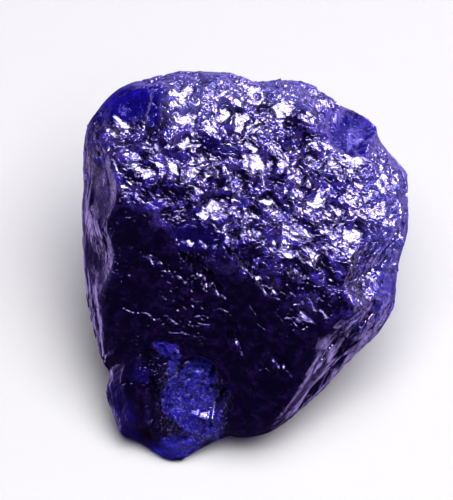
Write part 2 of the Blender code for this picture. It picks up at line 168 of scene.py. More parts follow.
# Chips knocked off the front: middle (units), half-length and half-width (units),
# the long way's turn (degrees), depth (mm), and the way the flat bottom leans, as
# the slopes of w along u and v.
CHIPS = [
    (-109, 105, 13, 10, 30, 0.22, -0.21, -0.36),
    (-71, 97, 18, 10, -55, 0.26, -0.25, -0.38),
    (15, 99, 20, 15, -35, 0.30, -0.22, -0.35),
    (-58, 142, 18, 11, 30, 0.24, -0.25, -0.38),
    (-56, 117, 12, 10, 0, 0.22, -0.21, -0.34),
    (-21, 149, 13, 12, 40, 0.24, -0.27, -0.39),
    (0, 142, 13, 10, 60, 0.24, -0.19, -0.32),
    (41, 155, 17, 11, 10, 0.24, -0.28, -0.34),
    (75, 62, 20, 13, 25, 0.32, -0.23, -0.37),
    (95, 50, 11, 9, 0, 0.20, -0.19, -0.40),
    (109, 27, 16, 13, 40, 0.28, -0.22, -0.38),
    (-33, 52, 28, 13, 38, 0.34, -0.14, -0.33),
    (-14, 44, 24, 18, 25, 0.30, -0.04, -0.25),
    (-60, 167, 16, 8, 15, 0.14, -0.25, -0.44),
    (7, 114, 11, 9, 20, 0.20, -0.27, -0.30),
    (54, 97, 12, 9, -20, 0.20, -0.19, -0.39),
    (149, 50, 12, 10, 60, 0.20, -0.54, -0.30),
    (147, 77, 12, 10, 30, 0.20, -0.51, -0.33),
    (27, 58, 13, 9, -30, 0.20, -0.24, -0.36),
    (-36, 26, 30, 12, 5, 0.30, 0.12, 0.40),
    (-23, 62, 18, 8, -20, 0.20, -0.29, -0.38),
    (-40, -9, 24, 5, -45, 0.20, 0.30, 0.10),
    (-28, -25, 26, 5, -48, 0.20, 0.32, 0.12),
    (3, -4, 22, 5, -40, 0.20, 0.28, 0.10),
    (28, -24, 20, 7, -50, 0.22, 0.24, 0.05),
    (58, -10, 20, 7, -35, 0.20, 0.18, 0.20),
    (74, -44, 18, 7, -35, 0.18, 0.18, 0.20),
    (38, -100, 24, 7, -30, 0.20, 0.10, 0.30),
    (-4, -78, 22, 7, -60, 0.20, 0.34, 0.24),
    (-96, 88, 12, 10, 50, 0.20, -0.14, -0.28),
    (-120, 137, 11, 9, 0, 0.20, -0.31, -0.44),
    # hollows that face away from the light
    (104, 131, 46, 30, 45, 0.62, -0.70, -0.75),
    (-90, -144, 28, 8, 98, 0.55, -0.05, 0.20),
    (-76, -90, 14, 6, -35, 0.25, 0.30, 0.35),
    (27, 35, 24, 17, -20, 0.42, 0.22, 0.18),
    (68, 92, 18, 12, -40, 0.30, 0.24, 0.05),
    (-2, 88, 30, 9, -15, 0.30, 0.12, 0.14),
    (60, 124, 16, 13, 30, 0.34, 0.30, 0.00),
    (-32, 110, 12, 10, 0, 0.24, 0.24, 0.00),
    (-88, 122, 10, 12, 20, 0.22, 0.22, -0.05),
    (-56, 104, 16, 6, -20, 0.22, 0.20, 0.10),
    (-20, 80, 12, 6, 10, 0.20, 0.16, 0.12),
    (0, 125, 14, 7, -40, 0.20, 0.24, 0.05),
    (76, 104, 13, 8, 0, 0.22, 0.22, 0.05),
    (40, 80, 16, 6, -30, 0.22, 0.20, 0.10),
    (-72, 62, 14, 8, -30, 0.22, 0.20, 0.05),
    (92, 78, 14, 6, -25, 0.20, 0.20, 0.00),
    (60, 10, 16, 7, -20, 0.22, 0.24, 0.15),
    (-106, 70, 14, 9, 30, 0.22, 0.26, 0.05),
]

# Broken texture, in rounds: flat facets that meet at sharp creases ("flats"), or
# small tilted bowls that meet in sharp ridges ("bowls"). Each round is (kind, size,
# depth, stretch along the grain), sizes and depths in mm.
HACKLE = [
    ("flats", 3.2, 0.42, 1.2),
    ("bowls", 2.2, 0.34, 1.3),
    ("flats", 1.3, 0.22, 1.4),
]
# Finer rounds, which come after the chips.
FINE_HACKLE = [
    ("plates", 0.95, 0.12, 1.3),
    ("plates", 0.50, 0.060, 1.3),
    ("flats", 0.32, 0.034, 1.2),
]
TILT = 0.9                # how far the bowls tilt
GRAIN = (0.80, -0.50, 0.33)   # the crystal's grain, in the face frame
SIDE_STRETCH = 2.8       # how far the hackles are stretched on the sides, along their edges


# ------------------------------------------------------------------ geometry
def to_level(p):
    """Face frame to level frame."""
    c, s = math.cos(LEAN), math.sin(LEAN)
    return np.stack([p[:, 0], s * p[:, 1] - c * p[:, 2], c * p[:, 1] + s * p[:, 2]], 1)


def around(angle, table):
    """Columns of a table that goes round the outline, at these angles, smoothly."""
    t = np.array(table, float)
    t = t[np.argsort(t[:, 0])]
    n = len(t)
    a = np.concatenate([t[-2:, 0] - 360, t[:, 0], t[:3, 0] + 360])
    v = np.concatenate([t[-2:, 1:], t[:, 1:], t[:3, 1:]])
    x = np.degrees(angle) % 360
    i = np.clip(np.searchsorted(a, x, side="right") - 1, 1, n + 2)
    h = a[i + 1] - a[i]
    f = ((x - a[i]) / h)[:, None]
    m0 = (v[i + 1] - v[i - 1]) / (a[i + 1] - a[i - 1])[:, None] * h[:, None]
    m1 = (v[i + 2] - v[i]) / (a[i + 2] - a[i])[:, None] * h[:, None]
    return (
        v[i] * (2 * f**3 - 3 * f**2 + 1)
        + m0 * (f**3 - 2 * f**2 + f)
        + v[i + 1] * (3 * f**2 - 2 * f**3)
        + m1 * (f**3 - f**2)
    )


def outline_radius(angle):
    """The outline's distance from its middle in mm, at these angles."""
    p = np.array(OUTLINE, float)
    table = np.stack([np.degrees(np.arctan2(p[:, 1], p[:, 0])) % 360,
                      np.hypot(p[:, 0], p[:, 1]) * UNIT], 1)
    return around(angle, table)[:, 0]


def joined(a, b, width=CREASE):
    """The greater of two, with the crease between them rounded over this width."""
    near = np.maximum(width - np.abs(a - b), 0) / width
    return np.maximum(a, b) + near * near * width / 4


def above_plane(p, normal, point):
    n = np.array(normal, float)
    n /= np.linalg.norm(n)
    return p @ n - n @ np.array(point, float)


def outside(p):
    """About how far each point of the face frame is outside the stone, in mm, before
    its chips and hackles: negative inside."""
    angle = np.arctan2(p[:, 1], p[:, 0])
    reach = np.hypot(p[:, 0], p[:, 1]) - outline_radius(angle)
    rim, front, back = around(angle, RIM).T
    wall = np.maximum(
        (reach + front * (p[:, 2] - rim)) / np.hypot(1, front),
        (reach - back * (p[:, 2] - rim)) / np.hypot(1, back),
    )
    f = wall
    for normal, point, wider in FACES:
        f = joined(f, above_plane(p, normal, point), wider * CREASE)
    level = to_level(p)
    for normal, point in BACK_FACES:
        f = joined(f, above_plane(level, normal, point))
    for centre, radius in SCOOPS:
        f = joined(f, radius - np.linalg.norm(p - np.array(centre), axis=1))
    off = p - np.array(LUMP)
    edge = around(np.arctan2(off[:, 1], off[:, 0]), LUMP_EDGE)[:, 0]
    f = joined(f, edge - np.linalg.norm(off, axis=1))
    tongue = np.linalg.norm(p - np.array(TONGUE[0]), axis=1) - TONGUE[1]
    tongue = np.maximum(tongue, wall)
    tongue = np.maximum(tongue, np.hypot(off[:, 0], off[:, 1]) - TONGUE_REACH)
    for normal, point in BACK_FACES:
        tongue = np.maximum(tongue, above_plane(level, normal, point))
    f = -joined(-f, -tongue)
    for centre, radius in BACK_SCOOPS:
        f = np.maximum(f, radius - np.linalg.norm(level - np.array(centre), axis=1))
    return f


def first_hit(start, step, far, f):
    """How far along each ray f first turns positive. It steps by a share of f, which is
    about the distance left, and then halves the last step."""
    n = len(start)
    low, high = np.zeros(n), np.full(n, far)
    at = np.full(n, 0.3)
    live = np.arange(n)
    while len(live):
        value = f(start[live] + at[live, None] * step[live])
        hit = value > 0
        high[live[hit]] = at[live[hit]]
        live, value = live[~hit], value[~hit]
        low[live] = at[live]
        at[live] += np.maximum(0.25, -0.6 * value)
        live = live[at[live] < far]
    for _ in range(11):
        middle = (low + high) / 2
        hit = f(start + middle[:, None] * step) > 0
        high = np.where(hit, middle, high)
        low = np.where(hit, low, middle)
    return (low + high) / 2


def chip_floors():
    """Each chip's middle on the stone's face, in the face frame."""
    at = np.array([(c[0] * UNIT, c[1] * UNIT, 14.0) for c in CHIPS])
    down = np.tile((0.0, 0.0, -1.0), (len(at), 1))
    at[:, 2] -= first_hit(at, down, 20.0, lambda p: -outside(p))
    return at


def chipped(p, floors):
    """(how deep the chips cut at p, how calm the surface is there)."""
    cut = np.zeros(len(p))
    calm = np.zeros(len(p))
    crook = 0.16 * np.sin(p[:, [1, 0]] * 3.1 + 1.3 * p[:, [0, 1]]) + 0.10 * np.sin(p[:, [1, 0]] * 7.7 + 2.0)
    for (_, _, length, width, turn, depth, su, sv), (u, v, w) in zip(CHIPS, floors):
        du, dv = p[:, 0] - u, p[:, 1] - v
        near = np.flatnonzero((np.hypot(du, dv) < 1.5 * length * UNIT) & (p[:, 2] > w - 2.5))
        du, dv, dw = du[near], dv[near], p[near, 2] - w
        a = math.radians(turn)
        x = (du * math.cos(a) + dv * math.sin(a) + crook[near, 0]) / (length * UNIT)
        y = (dv * math.cos(a) - du * math.sin(a) + crook[near, 1]) / (width * UNIT)
        off = np.maximum(np.abs(x) + 0.45 * np.abs(y), np.abs(y) + 0.45 * np.abs(x)) ** 2
        floor = (dw - su * du - sv * dv) / math.sqrt(1 + su * su + sv * sv) + depth * (1 - off**2)
        cut[near] = np.maximum(cut[near], floor)
        calm[near] = np.maximum(calm[near], np.clip(1.4 - off, 0, 1) * (cut[near] > 0))
    return cut, calm


def hashed(cell, salt):
    """Six even numbers from 0 to 1 for each whole-number cell."""
    x, y, z = (cell[..., k].astype(np.uint32) for k in range(3))
    h = x * np.uint32(73856093) ^ y * np.uint32(19349663) ^ z * np.uint32(83492791)
    h = h ^ np.uint32((salt * 2654435761) & 0xFFFFFFFF)
    out = []
    for _ in range(6):
        h = h ^ (h >> np.uint32(16))
        h = h * np.uint32(0x7FEB352D)
        h = h ^ (h >> np.uint32(15))
        h = h * np.uint32(0x846CA68B)
        h = h ^ (h >> np.uint32(16))
        out.append(h.astype(np.float64) / 4294967295.0)
    return np.stack(out, -1)


def bowls(q, salt):
    """Each bowl sits round a point of a jittered grid, tilted, and the deepest cut
    wins, so that neighbours meet in a sharp ridge."""
    cell = np.floor(q).astype(np.int64)
    least = np.full(len(q), 1e9)
    for dx in (-1, 0, 1):
        for dy in (-1, 0, 1):
            for dz in (-1, 0, 1):
                c = cell + np.array((dx, dy, dz))
                r = hashed(c, salt)
                away = q - (c + 0.15 + 0.7 * r[:, :3])
                bowl = (away**2).sum(1) + TILT * (away * (r[:, 3:6] * 2 - 1)).sum(1)
                least = np.minimum(least, bowl)
    return least - 0.04


def flats(q, salt):
    """Heights at the points of a slanted grid, joined by flat facets."""
    q = q + q.sum(1)[:, None] / 3
    cell = np.floor(q).astype(np.int64)
    part = q - cell
    order = np.argsort(-part, 1)
    part = np.take_along_axis(part, order, 1)
    weight = np.stack([1 - part[:, 0], part[:, 0] - part[:, 1], part[:, 1] - part[:, 2], part[:, 2]])
    height = weight[0] * hashed(cell, salt)[:, 0]
    for k in range(3):
        cell[np.arange(len(q)), order[:, k]] += 1
        height += weight[k + 1] * hashed(cell, salt)[:, 0]
    return 2 * height - 1


def plates(q, salt):
    """Flat plates, each tilted its own way, that break off in small steps."""
    cell = np.floor(q).astype(np.int64)
    least = np.full(len(q), 1e9)
    height = np.zeros(len(q))
    for dx in (-1, 0, 1):
        for dy in (-1, 0, 1):
            for dz in (-1, 0, 1):
                c = cell + np.array((dx, dy, dz))
                r = hashed(c, salt)
                away = q - (c + 0.1 + 0.8 * r[:, :3])
                off = (away**2).sum(1)
                nearer = off < least
                least = np.where(nearer, off, least)
                height = np.where(nearer, (away * (r[:, 3:6] * 2 - 1)).sum(1), height)
    return height


def hackles(p, kind, size, depth, stretch, salt, grain=GRAIN):
    """How far one round of broken texture cuts into the surface at p."""
    g = np.array(grain, float)
    g /= np.linalg.norm(g)
    q = (p - np.outer(p @ g, g) * (1 - 1 / stretch)) / size
    q = q + 0.20 * np.sin(q[:, [1, 2, 0]] * 2.3 + salt) + 0.10 * np.sin(q[:, [2, 0, 1]] * 5.1 + 2 * salt)
    return depth * {"flats": flats, "bowls": bowls, "plates": plates}[kind](q, salt)


def facing(p):
    """The way the surface faces at each point on it."""
    n = np.stack([outside(p + step) - outside(p - step) for step in 0.03 * np.eye(3)], 1)
    return n / np.maximum(np.linalg.norm(n, axis=1), 1e-6)[:, None]


def roughness(p, n, hold=0.70):
    """(how strong the hackles are, how much a point is on each side that has its own
    grain, how much it is below the ridge): they are lower along the rim, which keeps
    its outline, on the smoother patches and below the ridge."""
    angle = np.arctan2(p[:, 1], p[:, 0])
    reach = np.hypot(p[:, 0], p[:, 1]) - outline_radius(angle)
    rim = around(angle, RIM)[:, 0]
    strong = 1 - hold * np.clip(1.3 - np.hypot(reach, p[:, 2] - rim) / 0.7, 0, 1)
    for u, v, radius, share in SPOTS:
        near = np.hypot(p[:, 0] - u * UNIT, p[:, 1] - v * UNIT) / (radius * UNIT)
        strong *= 1 - (1 - share) * np.clip((1.1 - near) / 0.3, 0, 1) * (p[:, 2] > 0)
    upper, below = (above_plane(p, normal, point) for normal, point, _ in FACES[:2])
    lower = np.clip((below - upper) / 1.2 + 0.5, 0, 1)
    strong *= 1 - (1 - LOWER_HACKLES) * lower
    inward = np.clip((-np.maximum(upper, below) - 0.15) / 0.8, 0, 1)
    sides = []
    for normal, within, share, grain in SIDES:
        toward = n @ (np.array(normal) / np.linalg.norm(normal))
        here = np.clip((toward - within) / 0.10, 0, 1) * inward
        strong *= 1 - (1 - share) * here
        sides.append((grain, here))
    return strong, sides, lower


def broken(p, sides, kind, size, depth, stretch, salt):
    """One round of hackles, with the grain turned on the sides."""
    cut = hackles(p, kind, size, depth, stretch, salt)
    for grain, here in sides:
        on = np.flatnonzero(here)
        along = hackles(p[on], kind, size, depth, SIDE_STRETCH, salt + 1, grain)
        cut[on] += (along - cut[on]) * here[on]
    return cut


def carved(r, cut, square):
    """The reach r less a cut square to the surface. Where it adds instead, it adds
    along the ray, so that nothing stands out far where the ray grazes the surface."""
    return r - np.where(cut > 0, cut / square, cut)


def distance(d):
    """How far the stone reaches from its core in each direction d, in mm."""
    start = np.tile(np.array(CORE, float), (len(d), 1))
    r = first_hit(start, d, 24.0, outside)
    p = start + d * r[:, None]
    n = facing(p)
    strong, sides, lower = roughness(p, n)
    fine = roughness(p, n, 0.15)[0]  # the finer rounds run on over the rim
    # How square the surface is to the ray, so that a cut is as deep as it should be.
    square = np.clip((n * d).sum(1), 0.35, 1)
    for k, (kind, size, depth, stretch) in enumerate(HACKLE):
        r = carved(r, strong * broken(p, sides, kind, size, depth, stretch, 11 + 7 * k), square)
    cut, calm = chipped(start + d * r[:, None], chip_floors())
    r = r - cut / square
    p = start + d * r[:, None]
    quiet = np.clip(0.55 - 1.6 * flats(p / 2.4, 91), 0, 1)
    keep = fine * (1 - 0.88 * calm) * (1 - 0.75 * lower * quiet)
    for k, (kind, size, depth, stretch) in enumerate(FINE_HACKLE):
        r = carved(r, keep * broken(p, sides, kind, size, depth, stretch, 51 + 7 * k), square)
    # The patch that it lies on is flat and level.
    down = to_level(d)[:, 2]
    below = to_level(start)[:, 2] - BASE
    return np.where(r * down < -below, -below / np.minimum(down, -1e-6), r)


def block(cells):
    """A block's grid of points, pushed out to a ball: directions from the core."""
    bm = bmesh.new()
    bmesh.ops.create_cube(bm, size=2)
    bmesh.ops.subdivide_edges(bm, edges=bm.edges[:], cuts=cells - 1, use_grid_fill=True)
    for v in bm.verts:  # even angles, so that the cells are alike in size
        for k in range(3):
            v.co[k] = math.tan(v.co[k] * math.pi / 4)
        v.co.normalize()
        v.co.z += TOWARD_FACE
        v.co.normalize()
    return bm


def split_cells(bm, d, r, least):
    """Splits each four-sided cell that bends by more than this (mm) along the diagonal
    that lies nearer the surface, so that the creases run clean."""
    bm.verts.index_update()
    cells = list(bm.faces)
    corner = (d * r[:, None])[np.array([[v.index for v in f.verts] for f in cells])]
    one, other = (corner[:, 0] + corner[:, 2]) / 2, (corner[:, 1] + corner[:, 3]) / 2
    square = np.cross(corner[:, 2] - corner[:, 0], corner[:, 3] - corner[:, 1])
    square /= np.maximum(np.linalg.norm(square, axis=1), 1e-9)[:, None]
    bent = np.flatnonzero(np.abs(((one - other) * square).sum(1)) > least)
    one, other = one[bent], other[bent]
    toward = (one + other) / np.linalg.norm(one + other, axis=1)[:, None]
    reach = distance(toward)
    first = np.abs(np.linalg.norm(one, axis=1) - reach) < np.abs(np.linalg.norm(other, axis=1) - reach)
    for k, along in zip(bent, first):
        v = cells[k].verts[:]
        bmesh.utils.face_split(cells[k], v[0 if along else 1], v[2 if along else 3])
    return len(bent)



# ------------------------------------------------------------------ the stone
MOVE = (-0.1652, 1.1873, 7.3000)  # the outline's middle in the stone frame, in mm


def crystal_mesh():
    bm = block(GRID)
    d = np.array([v.co[:] for v in bm.verts], float)
    r = distance(d)
    split_cells(bm, d, r, 0.012)
    p = to_level(np.array(CORE) + d * r[:, None]) + np.array(MOVE)
    for v, at in zip(bm.verts, p):
        v.co = at
    bmesh.ops.triangulate(bm, faces=bm.faces[:])
    bmesh.ops.recalc_face_normals(bm, faces=bm.faces[:])
    mesh = bpy.data.meshes.new("tanzanite_crystal")
    bm.to_mesh(mesh)
    bm.free()
    # Flat facets need few triangles, so most of them go to the sharp edges.
    whole = bpy.data.objects.new("tanzanite_fine", mesh)
    bpy.context.scene.collection.objects.link(whole)
    fewer = whole.modifiers.new("fewer", "DECIMATE")
    fewer.ratio = TRIANGLES / len(mesh.polygons)
    fewer.use_collapse_triangulate = True
    bpy.context.view_layer.update()
    done = bpy.data.meshes.new_from_object(whole.evaluated_get(bpy.context.evaluated_depsgraph_get()))
    bpy.data.objects.remove(whole)
    bpy.data.meshes.remove(mesh)
    done.name = "tanzanite_crystal"
    done.transform(Matrix.Scale(1e-3, 4))
    done.polygons.foreach_set("use_smooth", [False] * len(done.polygons))
    return done


TRIANGLES = 196000


class Nodes:
    """A short way to write a node tree."""

    def __init__(self, tree):
        self.tree = tree

    def add(self, kind, **values):
        node = self.tree.nodes.new(kind)
        for name, value in values.items():
            if name.startswith("set_"):
                setattr(node, name[4:], value)
                continue
            socket = node.inputs[int(name[1:]) if name[0] == "i" and name[1:].isdigit() else name.replace("_", " ")]
            if isinstance(value, bpy.types.NodeSocket):
                self.tree.links.new(value, socket)
            else:
                socket.default_value = value
        return node

    def math(self, operation, a, b=0.5):
        return self.add("ShaderNodeMath", set_operation=operation, i0=a, i1=b).outputs[0]

    def ramp(self, value, low, high, to_low=0.0, to_high=1.0):
        return self.add("ShaderNodeMapRange", i0=value, i1=low, i2=high, i3=to_low, i4=to_high).outputs[0]

    def mix_value(self, factor, a, b):
        node = self.tree.nodes.new("ShaderNodeMix")
        for socket, value in ((node.inputs[0], factor), (node.inputs[2], a), (node.inputs[3], b)):
            if isinstance(value, bpy.types.NodeSocket):
                self.tree.links.new(value, socket)
            else:
                socket.default_value = value
        return node.outputs[0]

    def mix(self, factor, a, b):
        node = self.tree.nodes.new("ShaderNodeMix")
        node.data_type = "RGBA"
        for socket, value in ((node.inputs[0], factor), (node.inputs[6], a), (node.inputs[7], b)):
            if isinstance(value, bpy.types.NodeSocket):
                self.tree.links.new(value, socket)
            else:
                socket.default_value = value
        return node.outputs[2]


def crystal():
    """Clear violet-blue crystal: glossy, with dull and bright facets. Its colour is painted in zones: violet in the
    broken upper part; blue-black below the ridge, which is painted shade of the lower face that turns from the light;
    and a painted royal-blue glow where it is thin. It also has a painted pale glow on the rims, a painted sheen,
    painted glints and painted shade in the creases."""
    material = bpy.data.materials.new("tanzanite")
    material.use_nodes = True
    tree = material.node_tree
    n = Nodes(tree)
    shader = tree.nodes["Principled BSDF"]
    where = n.add("ShaderNodeTexCoord").outputs["Object"]

    # The face frame, in mm.
    turn = math.pi / 2 - LEAN
    middle = Matrix.Rotation(-turn, 3, "X") @ Vector(MOVE)
    face = n.add("ShaderNodeMapping", i0=where, i1=tuple(-middle), i2=(-turn, 0.0, 0.0), i3=(1000.0,) * 3).outputs[0]
    broad = n.add("ShaderNodeTexNoise", i0=face, Scale=0.42, Detail=2.0).outputs["Color"]
    narrow = n.add("ShaderNodeTexNoise", i0=face, Scale=1.9, Detail=3.0).outputs["Color"]
    moved = n.add("ShaderNodeVectorMath", set_operation="MULTIPLY_ADD", i0=broad, i1=(1.6,) * 3, i2=face).outputs[0]
    moved = n.add("ShaderNodeVectorMath", set_operation="MULTIPLY_ADD", i0=narrow, i1=(1.1,) * 3, i2=moved).outputs[0]
    moved = n.add("ShaderNodeVectorMath", set_operation="SUBTRACT", i0=moved, i1=(1.35,) * 3).outputs[0]

    def patch(u, v, length, width, turned, soft):
        """1 inside an oval of the face (units, degrees), and 0 away from it."""
        at = n.add("ShaderNodeMapping", set_vector_type="TEXTURE", i0=moved, i1=(u * UNIT, v * UNIT, 4.0),
                   i2=(0.0, 0.0, math.radians(turned)), i3=(length * UNIT, width * UNIT, 9.0)).outputs[0]
        off = n.add("ShaderNodeVectorMath", set_operation="LENGTH", i0=at).outputs["Value"]
        return n.ramp(off, 1 + soft, 1 - soft)

    # How far below the ridge: it runs from the left side down to the steep side. Below it the colour is painted
    # near-black, as painted shade of the lower face that turns from the light.
    below = n.add("ShaderNodeVectorMath", set_operation="DOT_PRODUCT", i0=moved, i1=(-0.45, -0.89, 0.0)).outputs["Value"]
    lower = n.ramp(below, RIDGE - 0.7, RIDGE + 1.3)
    mottle = n.add("ShaderNodeTexNoise", i0=face, Scale=1.5, Detail=4.0, Roughness=0.6).outputs[0]
    depth = n.add("ShaderNodeTexNoise", i0=face, Scale=0.9, Detail=5.0, Roughness=0.65).outputs[0]
    cluster = n.add("ShaderNodeTexNoise", i0=moved, Scale=0.42, Detail=2.0, Roughness=0.6).outputs[0]
    upper = n.mix(n.ramp(mottle, 0.40, 0.60), VIOLET, BLUE)
    upper = n.mix(n.ramp(depth, 0.47, 0.56), DEEP, upper)
    lower_shade = n.mix(n.ramp(mottle, 0.46, 0.66), NIGHT_SHADE, DUSK_SHADE)
    colour = n.mix(lower, upper, lower_shade)
    for u, v, length, width, turned, soft, tone in PATCHES:
        colour = n.mix(patch(u, v, length, width, turned, soft), colour, tone)
    # Cloudy grains: lighter and darker spots in every zone, at random, and thin pale curls, which are painted glints.
    grains = n.add("ShaderNodeTexNoise", i0=face, Scale=4.5, Detail=4.0, Roughness=0.7, Distortion=0.6).outputs[0]
    glint_curls = n.add("ShaderNodeTexNoise", i0=face, Scale=3.2, Detail=3.0, Roughness=0.6, Distortion=1.5).outputs[0]
    thin = n.ramp(n.math("ABSOLUTE", n.math("SUBTRACT", glint_curls, 0.5)), 0.022, 0.004)
    shade = n.math("ADD", n.ramp(grains, 0.36, 0.62, 0.25, 1.25), n.math("MULTIPLY", thin, 0.9))
    # Painted glints: pale specks on the lump stand in for its small glints. The lump is also rougher.
    lump_area = patch(-50, -148, 34, 50, 0, 0.2)
    lump_glints = n.add("ShaderNodeTexNoise", i0=face, Scale=6.5, Detail=3.0, Roughness=0.7).outputs[0]
    lump_glints = n.math("MULTIPLY", n.ramp(lump_glints, 0.52, 0.62), n.math("MULTIPLY", lump_area, 0.75))
    colour = n.mix(lump_glints, colour, PAINTED_GLINT)
    # Painted shade and highlight: the colour is darkened in concave creases and lightened on sharp convex edges.
    bent = n.add("ShaderNodeNewGeometry").outputs["Pointiness"]
    shade = n.math("MULTIPLY", shade, n.ramp(bent, 0.46, 0.53, 0.08, 1.5))
    colour = n.add("ShaderNodeVectorMath", set_operation="SCALE", i0=colour, Scale=shade).outputs[0]
    tree.links.new(colour, shader.inputs["Base Color"])
    dull = n.add("ShaderNodeTexNoise", i0=face, Scale=0.9, Detail=4.0).outputs[0]
    dull = n.ramp(dull, 0.35, 0.68, 0.04, 0.18)
    tree.links.new(n.math("ADD", dull, n.math("MULTIPLY", lump_area, 0.16)), shader.inputs["Roughness"])

    # Facets too small for the mesh: in the first, each cell is a plane that tilts its
    # own way, and in the second a small pyramid.
    def warped(cells_per_metre, stretch, wobble_by):
        bent = n.add("ShaderNodeTexNoise", i0=where, Scale=cells_per_metre * 0.8, Detail=1.0).outputs["Color"]
        at = n.add("ShaderNodeVectorMath", set_operation="MULTIPLY_ADD", i0=bent,
                   i1=(wobble_by / cells_per_metre,) * 3, i2=where).outputs[0]
        return n.add("ShaderNodeMapping", i0=at, i2=(0.3, -0.5, 0.55), i3=stretch).outputs[0]

    at = warped(3300.0, (0.8, 1.4, 1.1), 0.9)
    cell = n.add("ShaderNodeTexVoronoi", i0=at, Scale=3300.0)
    away = n.add("ShaderNodeVectorMath", set_operation="SUBTRACT", i0=at, i1=cell.outputs["Position"]).outputs[0]
    lean = n.add("ShaderNodeVectorMath", set_operation="SUBTRACT", i0=cell.outputs["Color"], i1=(0.5, 0.5, 0.5)).outputs[0]
    planes = n.add("ShaderNodeVectorMath", set_operation="DOT_PRODUCT", i0=away, i1=lean).outputs["Value"]
    at = warped(6000.0, (0.9, 1.3, 1.0), 0.7)
    pyramids = n.add("ShaderNodeTexVoronoi", i0=at, Scale=6000.0, set_distance="CHEBYCHEV").outputs["Distance"]
    # They are lower on the sides and below the ridge.
    upright = n.add("ShaderNodeVectorMath", set_operation="DOT_PRODUCT", i0=n.add("ShaderNodeNewGeometry").outputs["True Normal"],
                    i1=tuple(to_level(np.array([[0.0, 0.0, 1.0]]))[0])).outputs["Value"]
    sides = n.mix_value(lower, n.ramp(upright, 0.15, 0.60, 0.55, 1.0), n.ramp(upright, 0.45, 0.75, 0.35, 1.0))
    tall = n.math("MULTIPLY", sides, n.mix_value(lower, 1.0, n.ramp(cluster, 0.48, 0.60, 0.15, 0.7)))
    for u, v, length, width, turned in SMOOTH:
        tall = n.math("MULTIPLY", tall, n.math("SUBTRACT", 1.0, n.math("MULTIPLY", patch(u, v, length, width, turned, 0.3), 0.8)))
    height = n.math("ADD", n.math("MULTIPLY", planes, 0.17), n.math("MULTIPLY", pyramids, 0.07 / 6000.0))
    height = n.math("MULTIPLY", height, tall)
    bump = n.add("ShaderNodeBump", Strength=1.0, Distance=1.0, Height=height)
    bump.inputs["Filter Width"].default_value = 0.5
    tree.links.new(bump.outputs[0], shader.inputs["Normal"])
    shader.inputs["IOR"].default_value = 1.69
    shader.inputs["Transmission Weight"].default_value = 0.80
    shader.inputs["Specular Tint"].default_value = (0.80, 0.74, 1.0, 1)
    inside = tree.nodes.new("ShaderNodeVolumeAbsorption")
    inside.inputs["Color"].default_value = (0.17, 0.01, 0.90, 1)
    inside.inputs["Density"].default_value = 2200.0
    tree.links.new(inside.outputs[0], tree.nodes["Material Output"].inputs["Volume"])
    return material


RIDGE = 0.1  # where the ridge lies, in mm along its own square direction
VIOLET = (0.17, 0.09, 0.52, 1)
BLUE = (0.07, 0.045, 0.85, 1)
DEEP = (0.008, 0.002, 0.05, 1)
# Painted shade below the ridge, where the lower face turns from the light:
NIGHT_SHADE = (0.004, 0.001, 0.03, 1)
DUSK_SHADE = (0.030, 0.010, 0.12, 1)
# Painted glow: bright blues and pale lavenders that stand in for light coming through the thin parts and along the
# rims.
ROYAL_GLOW = (0.03, 0.018, 0.80, 1)
BRIGHT_GLOW = (0.09, 0.07, 1.0, 1)
PALE_GLOW = (0.16, 0.13, 0.85, 1)
INDIGO = (0.02, 0.008, 0.26, 1)
LILAC_GLOW = (0.28, 0.25, 0.95, 1)
# A real crack line, painted pale: painted light that the crack catches.
LIT_CRACK = (0.45, 0.40, 0.95, 1)
# Painted sheen: a satin lavender that stands in for the floor's reflection on the left side.
PAINTED_SHEEN = (0.46, 0.34, 0.74, 1)
AZURE_GLOW = (0.15, 0.11, 1.0, 1)
NAVY_GLOW = (0.018, 0.009, 0.60, 1)
# Painted glints on the lump:
PAINTED_GLINT = (0.42, 0.38, 1.0, 1)
# Smoother places, where the smallest facets fade: middle, half-length and half-width
# (units) and turn (degrees).
SMOOTH = [
    (-110, 157, 36, 20, 22),
    (112, 124, 28, 22, -25),
    (141, -26, 12, 22, 15),
]
